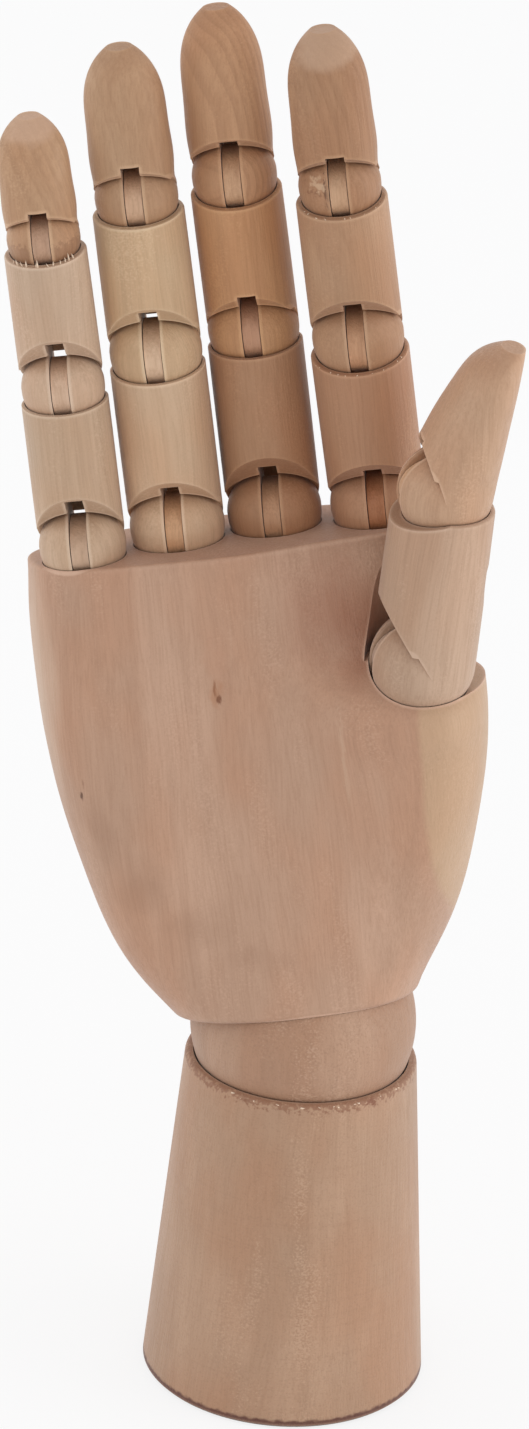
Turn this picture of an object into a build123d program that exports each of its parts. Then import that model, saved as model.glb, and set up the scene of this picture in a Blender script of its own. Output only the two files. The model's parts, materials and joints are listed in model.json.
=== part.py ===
from build123d import *
import os
from math import asin, cos, degrees, hypot, radians, sin, sqrt

# Jointed wooden hand on a round base, the kind that artists pose.
# Millimetres and degrees. The origin is the centre of the base's underside, +Z is up and the palm faces -Y.
# The hand's own frame has its origin at the centre of the wrist ball: +X to the thumb's side, -Y out of the
# palm and +Z towards the fingertips. It leans on the wrist ball as the hand stands at rest.

# Round base
BASE_HEIGHT = 70.7
BASE_FOOT_RADIUS = 28.5
BASE_TOP_RADIUS = 23.3
BASE_EDGE = 0.6
BASE_BORE_RADIUS = 7.0
BASE_COUNTERBORE_RADIUS = 9.5
BASE_SHOULDER_Z = 41.5
PLUG_THICKNESS = 4.0
PLUG_GAP = 0.05

# Wrist ball, and how the hand leans on it
WRIST_Z = 78.0
WRIST_BALL_RADIUS = 22.6
WRIST_GAP = 0.3
WRIST_BORE_RADIUS = 7.6
WRIST_FLARE_RADIUS = 10.0
WRIST_FLARE_DEPTH = 4.0
LEAN_LEFT = 9.6
LEAN_BACK = 6.5

# Tension spring through the wrist, its anchor pin in the base and the screw eye in the palm
SPRING_WIRE_RADIUS = 0.5
SPRING_RADIUS = 3.2
SPRING_TURNS = 14
LOOP_RADIUS = 2.6
LOOP_OPENING = 25.0
ANCHOR_PIN_RADIUS = 1.5
ANCHOR_PIN_LENGTH = 18.0
EYE_RADIUS = 3.0
EYE_WIRE_RADIUS = 0.8
EYE_HEIGHT = 30.0
EYE_SHANK_LENGTH = 11.0
EYE_BORE_RADIUS = 6.0
TOUCH_GAP = 0.05

# Palm: level, left edge, right edge, front, back, how square the outline is and how far the ball of the
# thumb stands out, both from 0 to 1
PALM_TOP = 102.0
PALM_LEVELS = (
    (1.0, -22.8, 23.0, -22.8, 23.3, 0.0, 0.0),
    (8.0, -27.0, 25.0, -22.6, 23.0, 0.1, 0.1),
    (18.0, -33.4, 31.0, -21.4, 22.4, 0.45, 0.3),
    (32.0, -38.4, 36.8, -19.8, 21.2, 0.75, 0.55),
    (48.0, -41.9, 41.0, -18.3, 19.5, 0.95, 0.8),
    (60.0, -43.6, 43.0, -17.5, 18.2, 1.0, 0.97),
    (70.0, -44.3, 43.5, -17.0, 17.4, 1.0, 1.0),
    (76.0, -44.4, 43.0, -16.7, 17.0, 1.0, 0.45),
    (84.0, -44.4, 41.5, -16.0, 16.6, 1.0, 0.0),
    (92.0, -44.1, 40.0, -15.5, 16.2, 1.0, 0.0),
    (PALM_TOP, -43.2, 38.0, -14.8, 15.6, 1.0, 0.0),
)
# The square outline on a box from -1 to 1, from the little finger's side round by the front, with the
# depth that each point has where the ball of the thumb is full
PALM_OUTLINE = (
    (-1.00, -0.15, -0.15),
    (-0.83, -0.87, -0.87),
    (-0.40, -1.00, -1.00),
    (0.10, -0.95, -1.05),
    (0.52, -0.68, -1.24),
    (0.84, -0.40, -1.20),
    (1.00, 0.12, -0.10),
    (0.76, 0.76, 0.76),
    (0.25, 1.00, 1.00),
    (-0.50, 0.76, 0.76),
    (-0.93, 0.25, 0.25),
)
PALM_EDGE = 0.8
HEEL_Z = 4.6
HEEL_TILT = 8.8
HEEL_EDGE = 2.2

# The palm's right end above the thumb's ledge, seen from above, from the front to the back
PALM_END = ((30.5, -14.0), (31.5, -8.5), (36.5, -2.0), (39.3, 6.0), (37.0, 14.0), (32.0, 22.0))
# Room cut for the thumb above the ledge: its gap, and the turns towards the palm that it is swept through
THUMB_ROOM = 1.0
THUMB_ROOM_TURNS = (0, 8)

# Finger joints, as shares of the ball's radius
CUP_DROP = 0.30
RIM_RELIEF = 0.14
NOTCH_SLOPE = 1.05
NOTCH_GROOVE = 0.13
NOTCH_GROOVE_RISE = 0.16
TONGUE_REACH = 0.94
TONGUE_RISE = 0.72
TONGUE_NECK = 0.55
PIN_REACH = 0.60
# Finger joints, in millimetres
SOCKET_GAP = 0.2
SLOT_WIDTH = 3.6
TONGUE_THICKNESS = 3.3
TONGUE_ROOT = 5.0
PIN_RADIUS = 0.9
PIN_RUNNING_GAP = 0.06
PIN_SINK = 0.5
RIM_FLAT = 0.25
NOTCH_SKIN = 0.05
SHAFT_SWELL = 0.03

# Fingers: place of the knuckle on the palm, then for the three joints from the knuckle out the bend at rest,
# the ball's radius, the tops of the notch and of the slot in ball radii, and the length from pivot to pivot
# or to the tip.
# shaft_top is the radius at the upper end of the two lower lengths.
FINGERS = {
    "little": {
        "place": (-31.7, -5.6),
        "bend": (0.0, 4.5, 9.5),
        "ball": (8.5, 8.1, 7.1),
        "notch": (1.39, 1.51, 1.29),
        "slot": (1.33, 1.42, 1.15),
        "length": (32.2, 30.5, 23.9),
        "shaft_top": (8.5, 8.0),
    },
    "ring": {
        "place": (-13.45, 0.9),
        "bend": (2.5, 1.5, 8.5),
        "ball": (9.3, 9.0, 8.05),
        "notch": (1.29, 1.30, 1.23),
        "slot": (1.15, 1.21, 1.15),
        "length": (36.0, 31.6, 29.3),
        "shaft_top": (9.35, 8.9),
    },
    "middle": {
        "place": (5.5, 5.1),
        "bend": (0.0, 8.0, 0.5),
        "ball": (9.25, 8.9, 8.2),
        "notch": (1.45, 1.10, 1.46),
        "slot": (1.20, 1.15, 1.15),
        "length": (37.4, 31.9, 32.6),
        "shaft_top": (9.3, 8.85),
    },
    "index": {
        "place": (26.0, 4.4),
        "bend": (10.0, -1.0, 5.5),
        "ball": (9.4, 8.9, 7.95),
        "notch": (1.35, 1.29, 1.34),
        "slot": (1.15, 1.15, 1.15),
        "length": (36.0, 32.0, 30.6),
        "shaft_top": (9.6, 8.85),
    },
}

# Thumb: its knuckle in the hand's frame, and the turn that sets its hinge to cross the palm
THUMB = {
    "place": (32.3, -13.5, 77.2),
    "lean_out": 13.0,
    "lean_forward": 8.8,
    "turn": -78.0,
    "bend": (0.0, -4.5),
    "ball": (10.35, 9.4),
    "notch": (1.37, 1.55),
    "slot": (1.15, 1.15),
    "slope": (1.42, 1.90),
    "length": (37.0, 31.6),
    "shaft_top": (10.1,),
    "relief": 0.33,
    "seat": 0.655,
}

# Fingertip from its ball to its end: share of the length, half width and reach of the pad in ball radii
TIP_SECTIONS = (
    (0.22, 1.00, 0.88),
    (0.40, 1.00, 0.68),
    (0.60, 0.98, 0.45),
    (0.78, 0.91, 0.20),
    (0.90, 0.72, -0.05),
    (0.97, 0.48, -0.36),
    (1.00, 0.32, -0.50),
)
TIP_COLLAR = 0.3

FINGER_BONES = ("proximal", "middle", "distal")
FINGER_JOINTS = ("knuckle", "middle_joint", "end_joint")
THUMB_BONES = ("proximal", "distal")
THUMB_JOINTS = ("knuckle", "end_joint")


def turned(x=0.0, y=0.0, z=0.0):
    """A turn about the X, Y or Z axis."""
    return Location((0, 0, 0), (x, y, z))


def hand_frame():
    """Where the hand's own frame lies in the part."""
    return Location((0, 0, WRIST_Z)) * turned(y=-LEAN_LEFT) * turned(x=-LEAN_BACK)


def finger_frames(name):
    """The frames of one finger's joints, each at its pivot with +Z along the length that turns in it."""
    finger = FINGERS[name]
    u, w = finger["place"]
    frame = hand_frame() * Location((u, w, PALM_TOP + CUP_DROP * finger["ball"][0]))
    frames = []
    for bend, length in zip(finger["bend"], finger["length"]):
        frame = frame * turned(x=bend)
        frames.append(frame)
        frame = frame * Location((0, 0, length))
    return frames


def thumb_frames():
    """The frames of the thumb's two joints."""
    frame = hand_frame() * Location(THUMB["place"])
    frame = frame * turned(y=THUMB["lean_out"]) * turned(x=THUMB["lean_forward"]) * turned(z=THUMB["turn"])
    frames = []
    for bend, length in zip(THUMB["bend"], THUMB["length"]):
        frame = frame * turned(x=bend)
        frames.append(frame)
        frame = frame * Location((0, 0, length))
    return frames


def unbent(frame, bend):
    """A joint's frame as the piece below it holds it, before the joint's bend at rest."""
    return frame * turned(x=-bend)


def cup_mouth(ball_radius):
    """Radius of a cup where its rim plane cuts it."""
    return sqrt((ball_radius + SOCKET_GAP) ** 2 - (CUP_DROP * ball_radius) ** 2)


def shaft_blank(radius, top_radius, length, next_radius):
    """A ball with a round shaft on it, up to the rim of the next joint's cup."""
    rim_z = length - CUP_DROP * next_radius
    lip = top_radius - cup_mouth(next_radius) - RIM_FLAT
    middle_radius = (radius + top_radius) / 2 + SHAFT_SWELL
    with BuildPart() as blank:
        with BuildSketch(Plane.XZ):
            with BuildLine():
                ThreePointArc((0, -radius), (radius * cos(radians(45)), -radius * sin(radians(45))), (radius, 0))
                ThreePointArc((radius, 0), (middle_radius, rim_z / 2), (top_radius, rim_z - lip))
                RadiusArc((top_radius, rim_z - lip), (top_radius - lip, rim_z), -lip)
                Polyline((top_radius - lip, rim_z), (0, rim_z), (0, -radius))
            make_face()
        revolve(axis=Axis.Z)
    return blank.part


def cut_cup(bone, length, next_radius, relief):
    """Cuts the next joint's cup into a shaft's end, with its rim dressed down on the palm's side."""
    rim_z = length - CUP_DROP * next_radius
    bone = bone - Location((0, 0, length)) * Sphere(next_radius + SOCKET_GAP)
    slope = degrees(asin(relief / hypot(relief, 1.0)))
    size = 4 * next_radius
    wedge = Location((0, 0, rim_z)) * turned(x=slope) * Location((0, -size / 2, size / 2)) * Box(size, size, size)
    return bone - wedge


def tip_blank(radius, length):
    """A ball that carries a fingertip: straight at the back, its pad falling away towards the tip."""
    collar = TIP_COLLAR * radius
    with BuildPart() as ball:
        with BuildSketch(Plane.XZ):
            with BuildLine():
                ThreePointArc((0, -radius), (radius * cos(radians(45)), -radius * sin(radians(45))), (radius, 0))
                Polyline((radius, 0), (radius, collar), (0, collar), (0, -radius))
            make_face()
        revolve(axis=Axis.Z)
    sections = [Location((0, 0, collar)) * Circle(radius)]
    for share, half_width, pad in TIP_SECTIONS:
        half_depth = radius * (1 + pad) / 2
        centre_y = radius - half_depth
        sections.append(Location((0, centre_y, share * length)) * Ellipse(half_width * radius, half_depth))
    return ball.part + loft(sections)


def cut_notch(bone, radius, top, slope):
    """Cuts the sloping notch on the palm's side down to the ball, with a narrow groove where they meet."""
    size = 8 * radius
    angle = degrees(asin(slope / hypot(slope, 1.0)))
    corner = Location((0, -radius, top * radius)) * turned(x=-angle)
    block = corner * Location((0, 0, -size / 2)) * Box(size, size, size)
    ball = Sphere(radius + NOTCH_SKIN)
    groove = Location((0, 0, NOTCH_GROOVE_RISE * radius)) * block & Sphere((1 + NOTCH_GROOVE) * radius)
    return bone - (block - ball) - (groove - ball)


def cut_slot_and_pin_hole(bone, radius, slot):
    """Saws the tongue's slot through the ball and drills the pin's blind hole from one side."""
    roof = slot * radius
    depth = roof + 2 * radius
    bone = bone - Location((0, 0, roof - depth / 2)) * Box(SLOT_WIDTH, 4 * radius, depth)
    reach = PIN_REACH * radius
    hole_length = reach + radius + 1
    hole = Location((reach - hole_length / 2, 0, 0), (0, 90, 0)) * Cylinder(PIN_RADIUS, hole_length)
    return bone - hole


def hinge_pin(radius):
    """The steel pin pressed into a ball, its outer end sunk under the surface."""
    reach = PIN_REACH * radius
    length = reach + radius - PIN_SINK
    return Location((reach - length / 2, 0, 0), (0, 90, 0)) * Cylinder(PIN_RADIUS, length)


def tongue_foot(radius):
    """How far a tongue's root reaches below the pivot."""
    return radius + TONGUE_ROOT


def tongue(radius):
    """The flat tongue that a joint turns on: a flattened head, bored for the pin, on a neck."""
    foot = tongue_foot(radius)
    head = Ellipse(TONGUE_REACH * radius, TONGUE_RISE * radius)
    outline = head + Location((0, -foot / 2)) * Rectangle(2 * TONGUE_NECK * radius, foot)
    outline = outline - Circle(PIN_RADIUS + PIN_RUNNING_GAP)
    # The outline is drawn in the joint's side view: its X runs towards the palm's front and its Y up
    side = Plane(origin=(-TONGUE_THICKNESS / 2, 0, 0), x_dir=(0, -1, 0), z_dir=(-1, 0, 0))
    return extrude(side * outline, -TONGUE_THICKNESS)


def mortise(radius):
    """The slot that a tongue's root is glued into, cut from the pivot down."""
    foot = tongue_foot(radius)
    return Location((0, 0, -foot / 2)) * Box(TONGUE_THICKNESS, 2 * TONGUE_NECK * radius, foot)


def lower_bone(radius, top_radius, length, next_radius, notch, slope, slot, relief):
    """A finger length with a ball at its foot and a cup for the next ball at its top."""
    bone = shaft_blank(radius, top_radius, length, next_radius)
    bone = cut_cup(bone, length, next_radius, relief)
    bone = cut_notch(bone, radius, notch, slope)
    bone = cut_slot_and_pin_hole(bone, radius, slot)
    return bone - Location((0, 0, length)) * mortise(next_radius)


def tip_bone(radius, length, notch, slope, slot):
    """The last finger length, with a ball at its foot."""
    bone = cut_notch(tip_blank(radius, length), radius, notch, slope)
    return cut_slot_and_pin_hole(bone, radius, slot)


def digit_parts(name, spec, frames, bones, joints, slopes, relief):
    """Every piece of one finger or of the thumb, by its name and in its place at rest."""
    parts = {}
    last = len(bones) - 1
    for i, (bone_name, joint_name) in enumerate(zip(bones, joints)):
        radius = spec["ball"][i]
        if i == last:
            bone = tip_bone(radius, spec["length"][i], spec["notch"][i], slopes[i], spec["slot"][i])
        else:
            bone = lower_bone(
                radius,
                spec["shaft_top"][i],
                spec["length"][i],
                spec["ball"][i + 1],
                spec["notch"][i],
                slopes[i],
                spec["slot"][i],
                relief,
            )
        parts[f"{name}_{bone_name}"] = frames[i] * bone
        parts[f"{name}_{joint_name}_pin"] = frames[i] * hinge_pin(radius)
        parts[f"{name}_{joint_name}_tongue"] = unbent(frames[i], spec["bend"][i]) * tongue(radius)
    return parts


def palm_section(level, left, right, front, back, square, thenar):
    """One closed outline across the palm, between a round one and the square one."""
    points = []
    for x, plain_y, thenar_y in PALM_OUTLINE:
        y = plain_y + thenar * (thenar_y - plain_y)
        size = hypot(x, y)
        x = square * x + (1 - square) * x / size
        y = square * y + (1 - square) * y / size
        points.append(((left + right) / 2 + x * (right - left) / 2, (front + back) / 2 + y * (back - front) / 2))
    with BuildSketch(Plane.XY.offset(level)) as section:
        with BuildLine():
            Spline(points, periodic=True)
        make_face()
    return section.sketch


def beyond_palm_end(ledge_z):
    """What is cut away above the thumb's ledge, to the right of the palm's end."""
    far = 90
    front = (PALM_END[0][0], -far)
    back = PALM_END[-1]
    with BuildSketch(Plane.XY.offset(ledge_z)) as corner:
        with BuildLine():
            Polyline(front, PALM_END[0])
            Spline(PALM_END)
            Polyline(back, (far, back[1]), (far, -far), front)
        make_face()
    return extrude(corner.sketch, PALM_TOP)


def palm():
    """The palm in the hand's frame, with its sockets, the heel's cup and the screw eye's bore."""
    body = loft([palm_section(*level) for level in PALM_LEVELS])
    top_edges = body.faces().sort_by(Axis.Z)[-1].edges()
    body = fillet(top_edges, PALM_EDGE)

    to_hand = hand_frame().inverse()
    thumb_frame = to_hand * thumb_frames()[0]
    thumb_radius = THUMB["ball"][0]
    ledge_z = THUMB["place"][2] - THUMB["seat"] * thumb_radius
    above_ledge = Location((0, 0, ledge_z + 50)) * Box(200, 200, 100)
    for turn in THUMB_ROOM_TURNS:
        room = thumb_frame * turned(x=turn) * Location((0, 0, 30)) * Cylinder(thumb_radius + THUMB_ROOM, 60)
        body = body - (room & above_ledge)
    body = body - beyond_palm_end(ledge_z) - thumb_frame * Sphere(thumb_radius + SOCKET_GAP)
    body = body - unbent(thumb_frame, THUMB["bend"][0]) * mortise(thumb_radius)

    for name, finger in FINGERS.items():
        frame = to_hand * finger_frames(name)[0]
        radius = finger["ball"][0]
        body = body - frame * Sphere(radius + SOCKET_GAP)
        body = body - unbent(frame, finger["bend"][0]) * mortise(radius)

    heel_plane = Location((0, 0, HEEL_Z)) * turned(x=-HEEL_TILT)
    body = body - heel_plane * Location((0, 0, -50)) * Box(200, 200, 100)
    body = fillet(body.faces().sort_by(Axis.Z)[0].edges(), HEEL_EDGE)
    body = body - Sphere(WRIST_BALL_RADIUS + WRIST_GAP)
    bore_top = EYE_HEIGHT + EYE_RADIUS + EYE_WIRE_RADIUS
    body = body - Location((0, 0, bore_top / 2)) * Cylinder(EYE_BORE_RADIUS, bore_top)
    return body - Location((0, 0, bore_top + EYE_SHANK_LENGTH / 2)) * Cylinder(EYE_WIRE_RADIUS, EYE_SHANK_LENGTH)


def base():
    """The turned base: a tapered block with a cup on top and a stepped bore for the spring."""
    cup_radius = WRIST_BALL_RADIUS + WRIST_GAP
    mouth = sqrt(cup_radius**2 - (WRIST_Z - BASE_HEIGHT) ** 2)
    lip = BASE_TOP_RADIUS - mouth - RIM_FLAT
    with BuildPart() as block:
        with BuildSketch(Plane.XZ):
            with BuildLine():
                Polyline((0, 0), (BASE_FOOT_RADIUS - BASE_EDGE, 0), (BASE_FOOT_RADIUS, BASE_EDGE))
                Line((BASE_FOOT_RADIUS, BASE_EDGE), (BASE_TOP_RADIUS, BASE_HEIGHT - lip))
                RadiusArc((BASE_TOP_RADIUS, BASE_HEIGHT - lip), (BASE_TOP_RADIUS - lip, BASE_HEIGHT), -lip)
                Polyline((BASE_TOP_RADIUS - lip, BASE_HEIGHT), (0, BASE_HEIGHT), (0, 0))
            make_face()
        revolve(axis=Axis.Z)
    block = block.part - Location((0, 0, WRIST_Z)) * Sphere(cup_radius)
    block = block - Location((0, 0, BASE_HEIGHT / 2)) * Cylinder(BASE_BORE_RADIUS, BASE_HEIGHT)
    return block - Location((0, 0, BASE_SHOULDER_Z / 2)) * Cylinder(BASE_COUNTERBORE_RADIUS, BASE_SHOULDER_Z)


def base_plug():
    """The wooden disc that closes the counterbore, flush with the underside."""
    return Location((0, 0, PLUG_THICKNESS / 2)) * Cylinder(BASE_COUNTERBORE_RADIUS - PLUG_GAP, PLUG_THICKNESS)


def anchor_pin():
    """The steel pin that the spring's lower loop hangs on, drawn up against the base's shoulder."""
    z = BASE_SHOULDER_Z - ANCHOR_PIN_RADIUS
    return Location((0, 0, z), (0, 90, 0)) * Cylinder(ANCHOR_PIN_RADIUS, ANCHOR_PIN_LENGTH)


def screw_eye():
    """The screw eye in the palm, in the hand's frame: a wire ring with its shank going up."""
    ring = Location((0, 0, EYE_HEIGHT), (90, 0, 0)) * Torus(EYE_RADIUS, EYE_WIRE_RADIUS)
    length = EYE_SHANK_LENGTH + EYE_WIRE_RADIUS
    top = EYE_HEIGHT + EYE_RADIUS + EYE_WIRE_RADIUS + EYE_SHANK_LENGTH
    return ring + Location((0, 0, top - length / 2)) * Cylinder(EYE_WIRE_RADIUS, length)


def spring_ends():
    """The centres of the spring's two loops, in the part's frame."""
    pin_z = BASE_SHOULDER_Z - ANCHOR_PIN_RADIUS
    low_z = pin_z - ANCHOR_PIN_RADIUS - SPRING_WIRE_RADIUS - TOUCH_GAP + LOOP_RADIUS
    ring_low = EYE_HEIGHT - EYE_RADIUS
    high_z = ring_low + EYE_WIRE_RADIUS + SPRING_WIRE_RADIUS + TOUCH_GAP - LOOP_RADIUS
    high = (hand_frame() * Location((0, 0, high_z))).position
    return Vector(0, 0, low_z), high


def spring_frame():
    """The frame on the spring's axis, with its origin at the lower loop's centre."""
    low, high = spring_ends()
    return Location(Plane(origin=low, x_dir=(1, 0, 0), z_dir=high - low))


def wire_arc(start, end, side):
    """Half a turn of wire about the spring's axis, square to the XZ plane at both of its ends."""
    bulge = side * hypot(end[0] - start[0], end[2] - start[2]) / 2
    return ThreePointArc(start, ((start[0] + end[0]) / 2, bulge, (start[2] + end[2]) / 2), end)


def wire_loop(centre_z, start_angle, end_angle):
    """One of the spring's end loops, by the angles from its top where the wire starts and ends."""
    points = []
    for angle in (start_angle, (start_angle + end_angle) / 2, end_angle):
        points.append((0, LOOP_RADIUS * sin(radians(angle)), centre_z + LOOP_RADIUS * cos(radians(angle))))
    return ThreePointArc(*points)


def wrist_spring():
    """The tension spring, stretched between the anchor pin and the screw eye, with a crossed loop at each end."""
    low, high = spring_ends()
    span = (high - low).length
    half_turns = 2 * SPRING_TURNS
    rise = (span - 2 * LOOP_RADIUS) / (half_turns + 1)
    here = (0, 0, LOOP_RADIUS)
    there = (SPRING_RADIUS, 0, LOOP_RADIUS + rise / 2)
    edges = [wire_loop(0, LOOP_OPENING, 360), wire_arc(here, there, 1)]
    side = -1
    for i in range(half_turns):
        here = there
        there = (-here[0], 0, here[2] + rise)
        edges.append(wire_arc(here, there, side))
        side = -side
    edges.append(wire_arc(there, (0, 0, span - LOOP_RADIUS), side))
    edges.append(wire_loop(span, 180, LOOP_OPENING - 180))
    wire = Wire(edges)
    return spring_frame() * sweep(Plane(wire @ 0, z_dir=wire % 0) * Circle(SPRING_WIRE_RADIUS), wire)


def wrist_ball():
    """The ball between base and palm, bored for the spring and flared at both mouths."""
    ball = Sphere(WRIST_BALL_RADIUS) - Cylinder(WRIST_BORE_RADIUS, 2 * WRIST_BALL_RADIUS)
    mouth = sqrt(WRIST_BALL_RADIUS**2 - WRIST_FLARE_RADIUS**2)
    flare = Location((0, 0, mouth - WRIST_FLARE_DEPTH / 2)) * Cone(
        WRIST_BORE_RADIUS, WRIST_FLARE_RADIUS, WRIST_FLARE_DEPTH
    )
    cap = Location((0, 0, mouth + 5)) * Cylinder(WRIST_FLARE_RADIUS, 10)
    for side in (turned(), turned(x=180)):
        ball = ball - side * flare - side * cap
    low, high = spring_ends()
    return Location(Plane(origin=(0, 0, WRIST_Z), x_dir=(1, 0, 0), z_dir=high - low)) * ball


def make_parts():
    """Every piece of the hand, by its name."""
    hand = hand_frame()
    parts = {
        "base": base(),
        "base_plug": base_plug(),
        "base_anchor_pin": anchor_pin(),
        "wrist_spring": wrist_spring(),
        "wrist_ball": wrist_ball(),
        "palm": hand * palm(),
        "palm_screw_eye": hand * screw_eye(),
    }
    slopes = (NOTCH_SLOPE,) * len(FINGER_BONES)
    for name, finger in FINGERS.items():
        frames = finger_frames(name)
        parts.update(digit_parts(name, finger, frames, FINGER_BONES, FINGER_JOINTS, slopes, RIM_RELIEF))
    frames = thumb_frames()
    parts.update(
        digit_parts("thumb", THUMB, frames, THUMB_BONES, THUMB_JOINTS, THUMB["slope"], THUMB["relief"])
    )
    return parts


def main():
    os.makedirs("parts", exist_ok=True)
    for name, part in make_parts().items():
        part.label = name
        export_step(part, f"parts/{name}.step")


if __name__ == "__main__":
    main()
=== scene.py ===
"""A jointed wooden hand on a turned wooden stand: sanded bare wood, steel joint pins and spring."""
import json
import math
import random

import bmesh
import bpy
from mathutils import Matrix, Vector


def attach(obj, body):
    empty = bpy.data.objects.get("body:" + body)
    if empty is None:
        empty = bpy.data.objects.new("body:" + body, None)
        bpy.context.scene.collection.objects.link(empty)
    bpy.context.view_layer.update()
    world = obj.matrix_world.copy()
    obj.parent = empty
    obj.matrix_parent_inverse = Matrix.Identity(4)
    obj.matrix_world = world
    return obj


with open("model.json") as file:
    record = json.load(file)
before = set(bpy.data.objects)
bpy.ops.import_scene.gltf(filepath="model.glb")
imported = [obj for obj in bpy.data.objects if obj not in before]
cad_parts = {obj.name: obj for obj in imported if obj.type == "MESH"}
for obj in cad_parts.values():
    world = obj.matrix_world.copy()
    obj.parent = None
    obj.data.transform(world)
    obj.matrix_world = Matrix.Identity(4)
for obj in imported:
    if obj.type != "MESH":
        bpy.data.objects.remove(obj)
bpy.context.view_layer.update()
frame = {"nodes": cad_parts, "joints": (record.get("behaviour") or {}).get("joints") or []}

MM = 0.001
NODES = frame["nodes"]
JOINTS = {joint["name"]: joint for joint in frame["joints"]}

# The wrist's middle, and how far the hand leans back and to the little finger's side, in degrees
WRIST = Vector((0, 0, 78 * MM))
LEAN = (-6.5, -9.6)

DIGITS = {
    "little": ("proximal", "middle", "distal"),
    "ring": ("proximal", "middle", "distal"),
    "middle": ("proximal", "middle", "distal"),
    "index": ("proximal", "middle", "distal"),
    "thumb": ("proximal", "distal"),
}

# How far each tip is bent at rest, in degrees
TIP_BEND = {"little": 9.5, "ring": 8.5, "middle": 0.5, "index": 5.5, "thumb": 4.5}


def joints_of(digit):
    """The names of a digit's joints, from the palm outwards."""
    kinds = ("knuckle", "end_joint") if digit == "thumb" else ("knuckle", "middle_joint", "end_joint")
    return [f"{digit}_{kind}" for kind in kinds]


# Where each piece's grain runs


def grain_frame(origin, along, across):
    """The piece's own axes: z runs with its grain and x across it, on the joint's pin."""
    z = Vector(along).normalized()
    x = Vector(across) - z * z.dot(Vector(across))
    x.normalize()
    turn = Matrix((x, z.cross(x), z)).transposed()
    return Matrix.Translation(origin) @ turn.to_4x4()


def hand_grain():
    """The hand's own axes, from the wrist's middle."""
    lean_back = Matrix.Rotation(math.radians(LEAN[0]), 4, "X")
    lean_side = Matrix.Rotation(math.radians(LEAN[1]), 4, "Y")
    return Matrix.Translation(WRIST) @ lean_side @ lean_back


def bone_grain(digit, index):
    """A finger bone's axes: from its own pin to the next one, or along the tip as it is bent at rest."""
    names = joints_of(digit)
    pins = [Vector(JOINTS[name]["pos_m"]) for name in names]
    axis = Vector(JOINTS[names[index]]["axis"])
    if index + 1 < len(names):
        along = pins[index + 1] - pins[index]
    else:
        along = Matrix.Rotation(math.radians(TIP_BEND[digit]), 3, axis) @ (pins[index] - pins[index - 1])
    return grain_frame(pins[index], along, axis)


# Materials


def linear(code):
    """An sRGB hex colour as the linear colour that a shader takes."""
    parts = [int(code[i:i + 2], 16) / 255 for i in (1, 3, 5)]
    return tuple(c / 12.92 if c <= 0.04045 else ((c + 0.055) / 1.055) ** 2.4 for c in parts) + (1.0,)


def tint(colour, red, green, blue):
    """A lighter or darker shade of a linear colour."""
    return tuple(min(1.0, c * k) for c, k in zip(colour, (red, green, blue))) + (1.0,)


def add(tree, kind, inputs=None, give=None, **settings):
    """Adds a node with its settings, sets or links its inputs, and gives the node or one of its outputs."""
    made = tree.nodes.new(kind)
    for name, value in settings.items():
        setattr(made, name, value)
    for key, value in (inputs or {}).items():
        if isinstance(value, bpy.types.NodeSocket):
            tree.links.new(value, made.inputs[key])
        else:
            made.inputs[key].default_value = value
    return made if give is None else made.outputs[give]


def start(name):
    """An empty node material with its output."""
    material = bpy.data.materials.new(name)
    material.use_nodes = True
    tree = material.node_tree
    tree.nodes.clear()
    return material, tree, add(tree, "ShaderNodeOutputMaterial")


def figure(tree, place, across, along, detail=3.0, seed=0.0, give=0):
    """Wood figure whose flecks are about across mm wide and along mm long, in the piece's own axes."""
    scale = (1 / across, 1 / across, 1 / along)
    shrunk = add(tree, "ShaderNodeMapping", {
        "Vector": place, "Location": (seed, 3 * seed, 7 * seed), "Scale": scale,
    }, 0)
    return add(tree, "ShaderNodeTexNoise", {"Vector": shrunk, "Scale": 1.0, "Detail": detail}, give)


def stain(tree, colour, ink, where, low, high, amount):
    """Lays an ink over a colour, from none where the pattern is low to the whole amount where it is high."""
    much = add(tree, "ShaderNodeMapRange", {0: where, 1: low, 2: high, 3: 0.0, 4: amount}, 0,
               interpolation_type="SMOOTHSTEP")
    return add(tree, "ShaderNodeMix", {0: much, 6: colour, 7: ink}, 2, data_type="RGBA")


def oval(centre, radii, code, strength=0.6, core=0.2, ragged=0.3):
    """A knot, speck, stained patch or patch of painted light or shade: an uneven oval of colour, in millimetres
    of the piece's own axes.
    """
    def paint(tree, place, colour):
        flecks = figure(tree, place, max(0.4, radii[0] * 0.7), max(0.5, radii[2] * 0.7), 2.0, centre[0])
        away = add(tree, "ShaderNodeVectorMath", {0: place, 1: centre}, 0, operation="SUBTRACT")
        shape = tuple(1 / radius for radius in radii)
        scaled = add(tree, "ShaderNodeVectorMath", {0: away, 1: shape}, 0, operation="MULTIPLY")
        length = add(tree, "ShaderNodeVectorMath", {0: scaled}, "Value", operation="LENGTH")
        shift = add(tree, "ShaderNodeMapRange", {0: flecks, 1: 0.3, 2: 0.7, 3: -ragged, 4: ragged}, 0)
        uneven = add(tree, "ShaderNodeMath", {0: length, 1: shift}, 0)
        return stain(tree, colour, linear(code), uneven, 1.0, core, strength)
    return paint


def band(low, high, code, strength, ragged=0.0, size=1.2):
    """A stain or painted shade up or down the piece, full at one height and gone at the other, with a ragged
    edge if asked.
    """
    def paint(tree, place, colour):
        height = add(tree, "ShaderNodeSeparateXYZ", {0: place}, 2)
        flecks = figure(tree, place, size, size, 3.0, low)
        shift = add(tree, "ShaderNodeMapRange", {0: flecks, 1: 0.35, 2: 0.65, 3: -ragged, 4: ragged}, 0)
        uneven = add(tree, "ShaderNodeMath", {0: height, 1: shift}, 0)
        return stain(tree, colour, linear(code), uneven, low, high, strength)
    return paint


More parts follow.
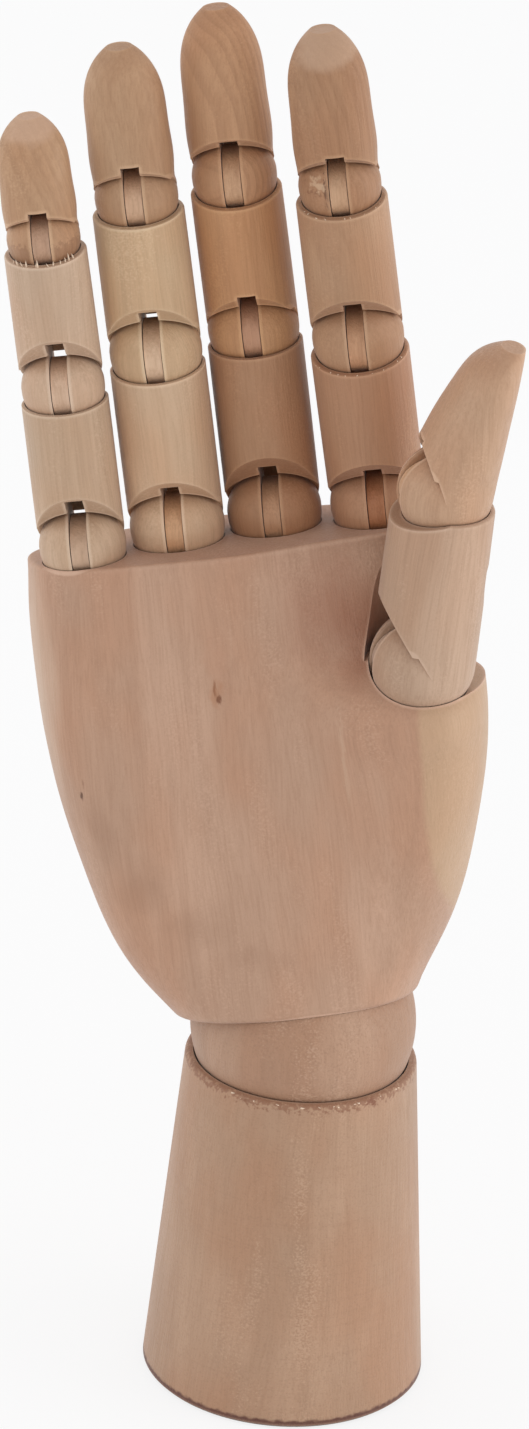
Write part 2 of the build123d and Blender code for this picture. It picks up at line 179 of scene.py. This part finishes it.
def wood(name, grain, tone, rings=3.0, pith=(38.0, 22.0), ring_depth=0.10, fibre=0.22, nap=0.5, end_grain_and_shade=0.3,
         blush=(1.02, 0.93, 0.87), marks=(), seed=1.0, edge=0.8, crevice_shade=0.7, tooled=0.0, nap_at=None):
    """Sanded bare birch with its grain along the piece.

    The tone is the board's own mean colour. Raw wood has no film on it, so the eye sees a matt surface with
    fine fibres, faint growth rings, a little raised nap and darker end grain. Painted light and shade are laid
    over
    it: corners made paler as a highlight, which is partly sanding wear, painted shade in the nap's pits and in
    the joints, and on the bones end grain dark enough to paint the shade on the notch roofs.
    """
    base = linear(tone)
    deep = tint(base, 0.68, 0.60, 0.54)
    pale = tint(base, 1.28, 1.34, 1.40)
    material, tree, out = start(name)
    coords = add(tree, "ShaderNodeTexCoord")
    place = add(tree, "ShaderNodeMapping", {
        "Vector": coords.outputs["Object"], "Location": grain.translation, "Rotation": grain.to_euler("XYZ"),
        "Scale": (MM, MM, MM),
    }, 0, vector_type="TEXTURE")

    # The grain wanders by up to 3.5 mm to each side along the piece, as the tree grew
    wander = figure(tree, place, 16, 70, 1.0, seed, give=1)
    swing = add(tree, "ShaderNodeVectorMath", {0: wander, 1: (0.5, 0.5, 0.5)}, 0, operation="SUBTRACT")
    grown = add(tree, "ShaderNodeVectorMath", {0: swing, 1: (7.0, 7.0, 0.0), 2: place}, 0,
                operation="MULTIPLY_ADD")

    # Growth rings, spaced in millimetres round a pith that lies outside the piece
    centred = add(tree, "ShaderNodeVectorMath", {0: grown, 1: (pith[0], pith[1], 0.0)}, 0,
                  operation="SUBTRACT")
    wave = add(tree, "ShaderNodeTexWave", {
        "Vector": centred, "Scale": math.pi / (10 * rings), "Distortion": 0.0,
    }, "Fac", wave_type="RINGS", rings_direction="Z", wave_profile="SAW")
    late = add(tree, "ShaderNodeValToRGB", {0: wave})
    late.color_ramp.elements[0].position = 0.25
    late.color_ramp.elements[0].color = (0, 0, 0, 1)
    late.color_ramp.elements[1].position = 0.9
    late.color_ramp.elements[1].color = (1, 1, 1, 1)
    late.color_ramp.elements.new(1.0).color = (0.1, 0.1, 0.1, 1)

    # Warm mottling 17 mm across, pale mottling 13 mm across, and the rings
    warm = figure(tree, place, 17, 34, 2.0, seed + 3)
    colour = stain(tree, base, tint(base, *blush), warm, 0.36, 0.64, 1.0)
    colour = stain(tree, colour, pale, figure(tree, place, 13, 45, 2.0, seed + 4), 0.48, 0.72, 0.5)
    colour = stain(tree, colour, deep, late.outputs[0], 0.0, 1.0, ring_depth)

    # Fibres 0.4 mm wide, which is coarser than real so that they show, and broader dark and pale streaks
    strands = figure(tree, grown, 0.42, 14, 4.0, seed + 5)
    colour = stain(tree, colour, deep, strands, 0.42, 0.68, fibre)
    colour = stain(tree, colour, deep, figure(tree, grown, 1.9, 60, 2.0, seed + 8), 0.45, 0.75, fibre * 0.8)
    colour = stain(tree, colour, pale, figure(tree, grown, 0.5, 20, 3.0, seed + 11), 0.55, 0.75, fibre * 0.7)

    # Short pores, 0.24 mm by 2.4 mm, about three times as wide as real so that they show
    pores = figure(tree, grown, 0.24, 2.4, 2.0, seed + 13)
    colour = stain(tree, colour, tint(deep, 0.72, 0.66, 0.6), pores, 0.6, 0.72, 0.5 * fibre)

    # End grain drinks the light: darker where the face is cut across the fibres. Set strong on the finger bones,
    # it also paints shade on the notches' cut roofs
    across_fibres = add(tree, "ShaderNodeVectorMath", {
        0: coords.outputs["Normal"], 1: grain.to_3x3() @ Vector((0, 0, 1)),
    }, "Value", operation="DOT_PRODUCT")
    cut_across = add(tree, "ShaderNodeMath", {0: across_fibres}, 0, operation="ABSOLUTE")
    colour = stain(tree, colour, tint(deep, 1.0, 0.94, 0.88), cut_across, 0.45, 0.95, end_grain_and_shade)

    # Nap raised by sanding: patches of fine specks, 0.5 mm wide. The pale specks are the raised fibres, and the
    # dark ones between them are painted shade in the pits.
    raised = figure(tree, place, 0.5, 0.42, 2.0, seed + 17)
    patch = figure(tree, place, 7, 26, 2.0, seed + 19)
    worn = add(tree, "ShaderNodeMapRange", {0: patch, 1: 0.35, 2: 0.7, 3: 0.55, 4: 1.0}, 0)
    if nap_at is not None:
        # The cutter lifted the fibres in a strip down the front, 3 mm to each side and fading out by 15 mm
        side = add(tree, "ShaderNodeSeparateXYZ", {0: place}, 0)
        away = add(tree, "ShaderNodeMath", {0: side, 1: nap_at}, 0, operation="SUBTRACT")
        near = add(tree, "ShaderNodeMath", {0: away}, 0, operation="ABSOLUTE")
        strip = add(tree, "ShaderNodeMapRange", {0: near, 1: 15.0, 2: 3.0, 3: 0.72, 4: 1.12}, 0)
        worn = add(tree, "ShaderNodeMath", {0: worn, 1: strip}, 0, operation="MULTIPLY")
    specks = add(tree, "ShaderNodeMath", {0: raised, 1: worn}, 0, operation="MULTIPLY")
    colour = stain(tree, colour, pale, specks, 0.44, 0.62, 0.6 * nap)
    # Painted shade: darker specks in the pits between the raised fibres
    colour = stain(tree, colour, deep, raised, 0.46, 0.34, 0.22 * nap)

    # Faint turning marks: lines 0.6 mm apart that run round the piece
    lathe = add(tree, "ShaderNodeMapping", {"Vector": place, "Scale": (0.03, 0.03, 1.6)}, 0)
    turning = add(tree, "ShaderNodeTexNoise", {"Vector": lathe, "Scale": 1.0, "Detail": 2.0}, 0)
    colour = stain(tree, colour, deep, turning, 0.5, 0.75, tooled)

    for mark in marks:
        colour = mark(tree, place, colour)

    # Corners made paler, partly worn by sanding and partly a painted highlight where the edges catch the light,
    # and painted shade in the joints and recesses
    worn_and_lit_edges = add(tree, "ShaderNodeAmbientOcclusion", {"Distance": 0.75 * MM}, "AO", samples=6, inside=True,
                 only_local=True)
    colour = stain(tree, colour, tint(pale, 1.06, 1.08, 1.1), worn_and_lit_edges, 0.97, 0.66, edge)
    # Painted shade: darker within 2 mm of other surfaces, in the joints, slots and cups
    shade_in_crevices = add(tree, "ShaderNodeAmbientOcclusion", {"Distance": 2.0 * MM}, "AO", samples=6)
    colour = stain(tree, colour, tint(deep, 0.40, 0.28, 0.20), shade_in_crevices, 0.62, 0.1, crevice_shade)

    # Surface: the fibres stand up to 0.04 mm proud, and the nap a little more
    proud = add(tree, "ShaderNodeMath", {0: specks, 1: 1.6 * nap, 2: strands}, 0, operation="MULTIPLY_ADD")
    sunk = add(tree, "ShaderNodeMath", {0: pores, 1: -0.5, 2: proud}, 0, operation="MULTIPLY_ADD")
    height = add(tree, "ShaderNodeMath", {0: turning, 1: 4.0 * tooled, 2: sunk}, 0, operation="MULTIPLY_ADD")
    relief = add(tree, "ShaderNodeBump", {"Height": height, "Strength": 0.9, "Distance": 0.1 * MM}, 0)
    rough = add(tree, "ShaderNodeMapRange", {0: strands, 1: 0.3, 2: 0.7, 3: 0.5, 4: 0.68}, 0)
    shader = add(tree, "ShaderNodeBsdfPrincipled", {
        "Base Color": colour, "Roughness": rough, "IOR": 1.5, "Normal": relief, "Sheen Weight": 0.18,
        "Sheen Roughness": 0.45,
    })
    tree.links.new(shader.outputs[0], out.inputs[0])
    return material


def steel(name, code, roughness, grit):
    """Drawn steel: bare metal with a fine grit in its shine, dulled in patches by dust from the wood."""
    material, tree, out = start(name)
    place = add(tree, "ShaderNodeTexCoord", give="Object")
    fine = add(tree, "ShaderNodeTexNoise", {"Vector": place, "Scale": 1 / (grit * MM), "Detail": 3.0}, 0)
    broad = add(tree, "ShaderNodeTexNoise", {"Vector": place, "Scale": 1 / (6 * MM), "Detail": 2.0}, 0)
    bare = linear(code)
    colour = stain(tree, bare, tint(bare, 0.55, 0.53, 0.50), broad, 0.4, 0.7, 0.6)
    rough = add(tree, "ShaderNodeMapRange", {
        0: fine, 1: 0.3, 2: 0.7, 3: roughness - 0.08, 4: roughness + 0.14,
    }, 0)
    relief = add(tree, "ShaderNodeBump", {"Height": fine, "Strength": 0.25, "Distance": 0.01 * MM}, 0)
    shader = add(tree, "ShaderNodeBsdfPrincipled", {
        "Base Color": colour, "Metallic": 1.0, "Roughness": rough, "Normal": relief,
    })
    tree.links.new(shader.outputs[0], out.inputs[0])
    return material


def dress(node, material):
    """Gives a carried-over piece its finish."""
    slots = NODES[node].data.materials
    slots.clear()
    slots.append(material)
    for polygon in NODES[node].data.polygons:
        polygon.material_index = 0


def new_object(name, build, material):
    """A new piece from a finished bmesh, in its material."""
    mesh = bpy.data.meshes.new(name)
    build.to_mesh(mesh)
    build.free()
    mesh.materials.append(material)
    obj = bpy.data.objects.new(name, mesh)
    bpy.context.scene.collection.objects.link(obj)
    return obj


# The mean colour of each piece's wood, as the pieces came from different boards
BOARDS = {
    "base": "#B49074",
    "wrist_ball": "#B08C72",
    "palm": "#BD977D",
    "little_proximal": "#C4A88C",
    "little_middle": "#C9AC91",
    "little_distal": "#BD9673",
    "ring_proximal": "#D1B191",
    "ring_middle": "#CDB08D",
    "ring_distal": "#B99371",
    "middle_proximal": "#AF8462",
    "middle_middle": "#BE8F65",
    "middle_distal": "#B88B66",
    "index_proximal": "#B48766",
    "index_middle": "#B48D6C",
    "index_distal": "#AA805E",
    "thumb_proximal": "#BC9C82",
    "thumb_distal": "#C49E7F",
}

# The tongues, from the knuckle outwards
TONGUES = {
    "little": ("#CBAC91", "#DCBA9D", "#BF9D83"),
    "ring": ("#CEA179", "#DEBC9C", "#CFA989"),
    "middle": ("#BC9270", "#B88C6E", "#C79D79"),
    "index": ("#B77D56", "#C99C78", "#CBA380"),
    "thumb": ("#BFA18A", "#D7AC85"),
}

# Marks in each piece's own millimetres. On the palm: a painted reddish shadow beside the thumb, painted light on
# the right side, four patches of painted shade along the heel, a painted highlight down the left edge, a pale
# streak, a knot, and a speck.
PALM_MARKS = (
    # Painted shadow: the thumb's reddish shade on the palm beside it
    oval((17, -11, 87), (16, 14, 20), "#A4674A", 0.55, 0.0, 0.15),
    oval((24, -15, 83), (9, 12, 15), "#8C5235", 0.65, 0.0, 0.2),
    # Painted light: the palm's right side made paler and yellower, as lit from the right
    oval((48, -16, 50), (19, 60, 62), "#CDB08A", 0.42, 0.90, 0.035),
    # Painted shade: darker where the heel turns under
    oval((-34, -15, 48), (5.5, 9, 10), "#9C755B", 0.34, 0.0, 0.2),
    oval((-27, -17, 37), (7.5, 9, 8.5), "#9C755B", 0.36, 0.0, 0.2),
    oval((-17, -18, 28), (9.5, 9, 6.5), "#9C755B", 0.34, 0.0, 0.2),
    oval((-5, -19, 21), (10, 9, 5), "#9C755B", 0.28, 0.0, 0.2),
    # Painted highlight: the left edge made paler
    oval((-44, -6, 80), (6, 20, 42), "#D6BCA2", 0.55, 0.1, 0.15),
    oval((15.4, -20, 60), (0.7, 4, 14), "#CFAF93", 0.35, 0.0, 0.6),
    oval((-7.3, -16, 82), (4.5, 6, 8.5), "#C08E70", 0.35, 0.1, 0.3),
    oval((-8.2, -16.8, 75.4), (1.7, 3, 3.8), "#B07A56", 0.55, 0.1, 0.35),
    oval((-8.4, -16.8, 76.0), (0.45, 2, 2.2), "#8F5C3A", 0.75, 0.2, 0.4),
    oval((-7.8, -16.8, 74.0), (0.68, 2, 1.35), "#7A4A2C", 0.88, 0.35, 0.35),
    oval((-37, -14.6, 56.1), (0.5, 2, 1.1), "#5B3826", 0.85, 0.3, 0.2),
    oval((-36.4, -14.6, 58.6), (0.25, 2, 1.6), "#8E6247", 0.6, 0.2, 0.2),
)
# On the stand: a painted contact shadow round its foot, a darker band round the rim and two chips in it
BASE_MARKS = (
    # Painted contact shadow: dark red-brown up to 1.2 mm, gone by 2 mm
    band(2.0, 1.2, "#54241A", 0.92, 0.2),
    band(69.2, 70.4, "#8A5A3E", 0.75, 1.2, 0.8),
    oval((14.9, -18.2, 69.8), (2.0, 2.2, 1.0), "#7C4427", 0.9, 0.3, 0.5),
    oval((-10, -20, 69.9), (2.4, 3, 0.7), "#84553A", 0.7, 0.3, 0.5),
)
# On the bones: a chip on the thumb, a crack and a torn patch on the index finger's end ball, a crack in its
# middle ball, the dark foot of the little finger's tip, and painted highlights on the tops of both of these tips
BONE_MARKS = {
    "thumb_proximal": (oval((9.8, -2.9, 21.4), (1.2, 0.7, 1.5), "#8A5836", 0.75, 0.2, 0.3),),
    "index_distal": (
        oval((-2.3, -7.0, 1.2), (0.55, 3, 3.6), "#5A341F", 0.9, 0.4, 0.6),
        oval((-3.9, -6.4, 2.6), (1.6, 3, 1.5), "#D9B896", 0.55, 0.2, 0.8),
        oval((-4.6, -6.0, 1.2), (1.3, 3, 0.8), "#7A4B30", 0.5, 0.2, 0.8),
        # Painted highlight: the top of the tip made paler
        oval((0.5, -2.0, 28.5), (7.5, 9, 5.2), "#CBA88C", 0.55, 0.55, 0.1),
    ),
    "index_middle": (oval((0.2, -8.6, 0.5), (0.28, 3, 5.0), "#5C3520", 0.8, 0.3, 0.5),),
    "little_distal": (
        band(1.2, 0.2, "#6E4228", 0.35, 0.8, 0.7),
        # Painted highlight: the top of the tip made paler
        oval((0.3, -2.0, 23.5), (6.5, 8, 4.6), "#D6B094", 0.55, 0.55, 0.1),
    ),
}

hand = hand_grain()
upright = Matrix.Identity(4)

dress("base", wood("turned_birch_stand", upright, BOARDS["base"], rings=4.0, nap=1.0, ring_depth=0.06,
                   fibre=0.14, seed=2.0, tooled=0.10, marks=BASE_MARKS, nap_at=-1.0))
dress("base_plug", wood("birch_plug", upright, BOARDS["base"], rings=3.0, seed=4.0))
dress("wrist_ball", wood("turned_birch_ball", Matrix.Translation(WRIST), BOARDS["wrist_ball"], nap=1.2,
                         ring_depth=0.06, fibre=0.14, end_grain_and_shade=0.12, seed=5.0, nap_at=1.0))
dress("palm", wood("carved_birch_palm", hand, BOARDS["palm"], rings=5.0, ring_depth=0.08, fibre=0.2, nap=0.5,
                   seed=9.0, marks=PALM_MARKS))

# How strongly the growth rings show on each tip, where the cut runs across them
RING_DEPTH = {"little": 0.26, "ring": 0.12, "middle": 0.34, "index": 0.24, "thumb": 0.12}
# The grain of the tips is slanted by this many degrees about their pins, which curves the rings on the pads
TIP_SLANT = 9.0

# Each piece takes the next seed, so that no two pieces have the same figure
seed = 11.0
for digit, bones in DIGITS.items():
    for index, bone in enumerate(bones):
        piece = f"{digit}_{bone}"
        seed += 2.3
        tip = bone == "distal"
        lie = bone_grain(digit, index)
        # The end grain is darkened strongly on the bones, most on the middle ones, partly as painted shade on
        # the notch roofs
        if tip:
            lie = lie @ Matrix.Rotation(math.radians(-TIP_SLANT), 4, "X")
            # The heart of the tree is nearer here, so the rings are closer and bend more
            growth = {"rings": 1.5, "ring_depth": RING_DEPTH[digit], "pith": (6.0 + seed % 7, 4.0 + seed % 5),
                      "end_grain_and_shade": 0.45}
        else:
            growth = {"rings": 2.2, "ring_depth": 0.08, "pith": (18.0 + seed % 9, 12.0 + seed % 5),
                      "end_grain_and_shade": 0.85}
        finish = wood(f"turned_birch_{piece}", lie, BOARDS[piece], edge=0.65, seed=seed,
                      marks=BONE_MARKS.get(piece, ()), **growth)
        dress(piece, finish)

# Drawn wire has a tight grey shine, and the pins in the wood are a little duller than the spring
pin_steel = steel("drawn_steel_pin", "#B9B7B2", 0.34, 0.25)
spring_steel = steel("drawn_spring_steel", "#A9A8A6", 0.3, 0.2)
palm_up = hand.to_3x3() @ Vector((0, 0, 1))
for digit in DIGITS:
    for joint, tone in zip(joints_of(digit), TONGUES[digit]):
        seed += 1.7
        lie = grain_frame(Vector(JOINTS[joint]["pos_m"]), palm_up, JOINTS[joint]["axis"])
        finish = wood(f"sawn_birch_{joint}_tongue", lie, tone, rings=1.4, fibre=0.35, seed=seed, edge=0.3,
                      crevice_shade=0.2, nap=0.3, end_grain_and_shade=0.1)
        dress(f"{joint}_tongue", finish)
        dress(f"{joint}_pin", pin_steel)
dress("base_anchor_pin", pin_steel)
dress("palm_screw_eye", spring_steel)
dress("wrist_spring", spring_steel)


# Torn fibres and chips that the cutters left along the rims


def thorn(build, foot, tip, bend, width):
    """One torn fibre: a closed four-sided blade from its foot, over a bend, to its point."""
    way = (tip - foot).normalized()
    side = way.orthogonal().normalized()
    other = way.cross(side)
    rows = []
    for centre, half in ((foot, width / 2), ((foot + tip) / 2 + bend, width / 2.6)):
        # The corners lie on the diagonals, so 0.7 of the half width makes the blade as wide as asked
        corners = (side + other, side - other, -side - other, -side + other)
        rows.append([build.verts.new(centre + corner * half * 0.7) for corner in corners])
    point = build.verts.new(tip)
    build.faces.new(rows[0][::-1])
    for i in range(4):
        j = (i + 1) % 4
        build.faces.new((rows[0][i], rows[0][j], rows[1][j], rows[1][i]))
        build.faces.new((rows[1][i], rows[1][j], point))


def torn(name, body, material, grain, fibres):
    """A row of torn fibres as one piece, from foot, tip, bend and width in the piece's own millimetres."""
    build = bmesh.new()
    for foot, tip, bend, width in fibres:
        thorn(build, Vector(foot), Vector(tip), Vector(bend), width)
    bmesh.ops.recalc_face_normals(build, faces=build.faces)
    build.transform(grain @ Matrix.Scale(MM, 4))
    obj = new_object(name, build, material)
    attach(obj, body)


def stand_rim_fibres(chance):
    """Flakes along the front of the stand's cup rim, closest together at the right, where its big chip is.

    The rim is 22.6 mm from the stand's axis and 70 mm up, and the flakes are 0.4 to 1.5 mm long.
    """
    fibres = []
    angle = -146.0
    while angle < -24.0:
        turn = math.radians(angle)
        out = Vector((math.cos(turn), math.sin(turn), 0))
        along = Vector((-math.sin(turn), math.cos(turn), 0))
        foot = out * chance.uniform(22.35, 22.9) + Vector((0, 0, chance.uniform(69.85, 70.1)))
        length = chance.uniform(0.4, 1.5)
        tip = foot + along * length * chance.choice((-1, 1)) + out * chance.uniform(-0.15, 0.25)
        tip.z = min(70.62, foot.z + chance.uniform(0.1, 0.5))
        fibres.append((foot, tip, out * chance.uniform(0.0, 0.2), chance.uniform(0.22, 0.5)))
        angle += chance.uniform(1.2, 4.2) if angle < -60 else chance.uniform(0.8, 2.4)
    return fibres


def bone_rim_fibres(chance, radius, rim, slope, reach, count, length):
    """Upright splinters along the palm side of a finger's cup rim.

    The rim's radius and height and the splinters' shortest and longest length are in mm. The rim drops by its
    slope towards the front, and the splinters reach round to both sides by so many degrees.
    """
    fibres = []
    for i in range(count):
        turn = math.radians(-90 + reach * (2 * (i + chance.uniform(0.1, 0.9)) / count - 1))
        out = Vector((math.cos(turn), math.sin(turn), 0))
        foot = out * radius + Vector((0, 0, rim + slope * out.y * radius - 0.25))
        tip = foot + Vector((chance.uniform(-0.5, 0.5), 0, chance.uniform(*length)))
        tip += out * chance.uniform(0.0, 0.25)
        fibres.append((foot, tip, out * chance.uniform(0.0, 0.15), chance.uniform(0.22, 0.42)))
    return fibres


# The web across the back of a ball's slot, in ball radii: its front and back, the curve that clears the
# tongue's swing, and how far it sinks into the slot's roof. Half its width is in mm, and fills the slot.
WEB_FRONT = 0.8
WEB_BACK = 0.985
WEB_CURVE = 0.965
WEB_SUNK = 0.03
WEB_HALF_WIDTH = 1.85
WEB_STEPS = 6


def slot_web(joint, radius, grain, low, roof, material):
    """The web of wood that the saw leaves across the back of a ball's slot, clear of the tongue's swing."""
    side = [(WEB_FRONT, roof + WEB_SUNK), (WEB_BACK, roof + WEB_SUNK), (WEB_BACK, low)]
    if low > math.sqrt(WEB_CURVE ** 2 - WEB_FRONT ** 2):
        side.append((WEB_FRONT, low))
    else:
        first = math.asin(low / WEB_CURVE)
        last = math.acos(WEB_FRONT / WEB_CURVE)
        for step in range(WEB_STEPS + 1):
            angle = first + (last - first) * step / WEB_STEPS
            side.append((WEB_CURVE * math.cos(angle), max(low, WEB_CURVE * math.sin(angle))))
    build = bmesh.new()
    left = [build.verts.new((-WEB_HALF_WIDTH, y * radius, z * radius)) for y, z in side]
    right = [build.verts.new((WEB_HALF_WIDTH, y * radius, z * radius)) for y, z in side]
    build.faces.new(left)
    build.faces.new(right[::-1])
    for i in range(len(side)):
        j = (i + 1) % len(side)
        build.faces.new((left[i], right[i], right[j], left[j]))
    bmesh.ops.recalc_face_normals(build, faces=build.faces)
    build.transform(grain @ Matrix.Scale(MM, 4))
    return new_object(f"{joint}_slot_web", build, material)


# For the joints of each finger, from the knuckle: the ball's radius in mm, then in ball radii how low the web
# reaches and how high the slot's roof is. Light shows over the tongue where the web stops short.
WEBS = {
    "little": ((8.5, 0.60, 1.33), (8.1, 0.64, 1.42), (7.1, 0.35, 1.15)),
    "ring": ((9.3, 0.46, 1.15), (9.0, 0.582, 1.21), (8.05, 0.37, 1.15)),
    "middle": ((9.25, 0.525, 1.20), (8.9, 0.41, 1.15), (8.2, 0.41, 1.15)),
    "index": ((9.4, 0.38, 1.15), (8.9, 0.40, 1.15), (7.95, 0.35, 1.15)),
}
for digit, webs in WEBS.items():
    for index, (joint, (radius, low, roof)) in enumerate(zip(joints_of(digit), webs)):
        piece = f"{digit}_{DIGITS[digit][index]}"
        web = slot_web(joint, radius, bone_grain(digit, index), low, roof, NODES[piece].data.materials[0])
        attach(web, piece)

# Torn fibres are paler than the sanded wood, as their broken ends scatter the light
chance = random.Random(7)
pale_splinter = wood("torn_birch_fibres", upright, "#D8BFA4", fibre=0.1, crevice_shade=0.35, seed=81.0)
torn("stand_rim_flakes", "stand", pale_splinter, upright, stand_rim_fibres(chance))
torn("little_middle_rim_splinters", "little_middle", pale_splinter, bone_grain("little", 1),
     bone_rim_fibres(chance, 7.5, 28.4, 0.14, 56, 12, (0.9, 1.9)))
torn("index_middle_rim_flakes", "index_middle", pale_splinter, bone_grain("index", 1),
     bone_rim_fibres(chance, 8.4, 29.6, 0.14, 70, 9, (0.35, 0.6)))
torn("index_proximal_rim_flakes", "index_proximal", pale_splinter, bone_grain("index", 0),
     bone_rim_fibres(chance, 9.2, 33.3, 0.14, 72, 11, (0.35, 0.6)))


# Studio: a pale floor that goes white behind the hand, and soft boxes at both sides


# In metres: the floor's radius, the gap that keeps it off the stand's underside, and where the lamps point
FLOOR_RADIUS = 8
FLOOR_GAP = 0.2 * MM
HAND_MIDDLE = Vector((0, 0, 0.14))


def seen_plainly(tree):
    """One for the rays that the camera and reflections send out, and nothing for the lighting."""
    path = add(tree, "ShaderNodeLightPath").outputs
    seen = add(tree, "ShaderNodeMath", {0: path["Is Camera Ray"], 1: path["Is Glossy Ray"]}, 0,
               operation="MAXIMUM")
    return add(tree, "ShaderNodeMath", {0: seen, 1: path["Is Transmission Ray"]}, 0, operation="MAXIMUM")


def floor():
    """A wide matt floor, which the camera sees as nearly white with the hand's soft shadow on it."""
    material, tree, out = start("matt_white_floor")
    matt = add(tree, "ShaderNodeBsdfDiffuse", {"Color": linear("#F7F6F5")})
    white = add(tree, "ShaderNodeEmission", {"Color": (1, 1, 1, 1), "Strength": 1.0})
    amount = add(tree, "ShaderNodeMath", {0: seen_plainly(tree), 1: 0.8}, 0, operation="MULTIPLY")
    mixed = add(tree, "ShaderNodeMixShader", {0: amount, 1: matt.outputs[0], 2: white.outputs[0]})
    tree.links.new(mixed.outputs[0], out.inputs[0])
    build = bmesh.new()
    bmesh.ops.create_circle(build, cap_ends=True, segments=96, radius=FLOOR_RADIUS)
    obj = new_object("studio_floor", build, material)
    obj.location.z = -FLOOR_GAP


def soft_box(name, place, size, watts):
    """A square white soft box that points at the hand's middle."""
    data = bpy.data.lights.new(name, "AREA")
    data.shape = "SQUARE"
    data.size = size
    data.energy = watts
    lamp = bpy.data.objects.new(name, data)
    bpy.context.scene.collection.objects.link(lamp)
    lamp.location = place
    lamp.rotation_euler = (HAND_MIDDLE - Vector(place)).to_track_quat("-Z", "Y").to_euler()


def surroundings():
    """Even pale light from all round, with plain white behind."""
    world = bpy.data.worlds.new("studio")
    bpy.context.scene.world = world
    world.use_nodes = True
    tree = world.node_tree
    tree.nodes.clear()
    room = add(tree, "ShaderNodeBackground", {"Color": linear("#FBFCFF"), "Strength": 0.84})
    white = add(tree, "ShaderNodeBackground", {"Color": (1, 1, 1, 1), "Strength": 1.0})
    mixed = add(tree, "ShaderNodeMixShader", {0: seen_plainly(tree), 1: room.outputs[0], 2: white.outputs[0]})
    out = add(tree, "ShaderNodeOutputWorld")
    tree.links.new(mixed.outputs[0], out.inputs[0])


# The photograph's camera: where it stands, in metres, and how far it is turned about x, y and z, in degrees
EYE = Vector((0, -1.266945, 0.742124))
EYE_TURN = (64.7146, -3.0581, 1.9547)


def camera():
    """The photograph's camera: 25 degrees above the hand, tall frame, long lens."""
    data = bpy.data.cameras.new("camera")
    data.sensor_fit = "VERTICAL"
    data.sensor_height = 36
    data.lens = 180
    data.clip_end = 50
    eye = bpy.data.objects.new("camera", data)
    bpy.context.scene.collection.objects.link(eye)
    eye.location = EYE
    eye.rotation_euler = [math.radians(angle) for angle in EYE_TURN]
    bpy.context.scene.camera = eye


floor()
soft_box("left_box", (-1.45, 0.15, 0.6), 1.0, 3.0)
soft_box("right_box", (1.45, -0.2, 0.5), 1.1, 7.0)
surroundings()
camera()
bpy.context.scene.view_settings.view_transform = "Standard"
